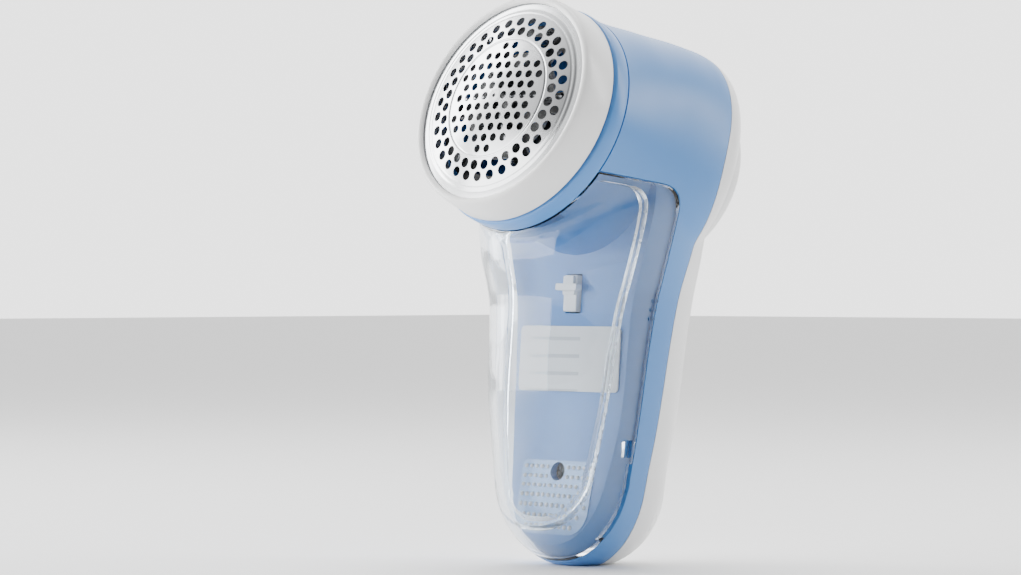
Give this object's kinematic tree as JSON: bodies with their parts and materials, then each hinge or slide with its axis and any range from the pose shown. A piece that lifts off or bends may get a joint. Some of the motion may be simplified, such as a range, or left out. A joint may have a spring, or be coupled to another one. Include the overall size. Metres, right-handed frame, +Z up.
{
  "type": "fabric shaver",
  "caption": "Upright handheld fabric shaver: round perforated foil over a spinning bladed wheel, barrel head, clear lint bin and rechargeable handle with a slide switch.",
  "frame": {"origin": "on the flat foot under the handle, in the plane of symmetry of the housing", "axes": "+Z up along the handle, -Y towards the foil, +X to the object's left as the foil faces the viewer's front"},
  "size_m": [0.0668, 0.0885, 0.1558],
  "materials": {
    "blue_abs": "satin moulded",
    "white_abs": "satin moulded",
    "clear_bin": "clear polished",
    "steel_foil": "fine polished",
    "blade_steel": "ground",
    "steel": "plated",
    "motor_can": "zinc plated",
    "cell_wrap": "shrink wrapped",
    "black_plastic": "matte moulded",
    "board": "solder mask",
    "felt": "pressed felt",
    "label": "printed film",
    "lens": "frosted"
  },
  "bodies": {
    "housing": {"front_shell": "blue_abs", "rear_shell": "white_abs", "rear_cap": "white_abs", "head_collar": "blue_abs", "label_plate": "label", "panel_screw": "steel", "latch_spring": "steel", "battery_cell": "cell_wrap", "battery_holder": "black_plastic", "circuit_board": "board", "charge_board": "board", "slide_switch": "steel", "usb_socket": "steel", "indicator_lens": "lens", "safety_switch": "black_plastic", "motor_body": "motor_can", "motor_mount": "black_plastic", "shaft_seal": "felt", "head_screw_1": "steel", "head_screw_2": "steel"},
    "drive": {"motor_shaft": "steel", "drive_coupler": "white_abs", "cutter_spring": "steel"},
    "cutter": {"cutter_hub": "white_abs", "blade_1": "blade_steel", "blade_2": "blade_steel", "blade_3": "blade_steel", "blade_4": "blade_steel", "blade_5": "blade_steel", "blade_6": "blade_steel"},
    "foil_unit": {"foil": "steel_foil", "foil_carrier": "white_abs"},
    "ring": {"foil_ring": "white_abs"},
    "bin": {"lint_bin": "clear_bin"},
    "switch": {"switch_slider": "blue_abs"},
    "latch": {"bin_latch": "white_abs"}
  },
  "joints": [
    {"name": "cutter_spin", "type": "hinge", "parent": "housing", "child": "drive", "pos_m": [0, -0.035, 0.1271], "axis": [0, -0.9317, 0.3633], "continuous": true},
    {"name": "cutter_float", "type": "slide", "parent": "drive", "child": "cutter", "axis": [0, 0.9317, -0.3633], "range_m": [0, 0.001], "stiffness_N_per_m": 300, "springref_m": -0.002},
    {"name": "foil_lift", "type": "slide", "parent": "housing", "child": "foil_unit", "axis": [0, -0.9317, 0.3633], "range_m": [0, 0.02]},
    {"name": "ring_turn", "type": "hinge", "parent": "foil_unit", "child": "ring", "pos_m": [0, -0.035, 0.1271], "axis": [0, -0.9317, 0.3633], "range_deg": [0, 15]},
    {"name": "bin_slide", "type": "slide", "parent": "housing", "child": "bin", "axis": [0, -0.3633, -0.9317], "range_m": [0, 0.025]},
    {"name": "switch_slide", "type": "slide", "parent": "housing", "child": "switch", "axis": [0, 0.1668, 0.986], "range_m": [0, 0.008]},
    {"name": "latch_press", "type": "slide", "parent": "housing", "child": "latch", "axis": [0, 0.9968, -0.0797], "range_m": [0, 0.0008], "stiffness_N_per_m": 200, "springref_m": -0.001}
  ]
}
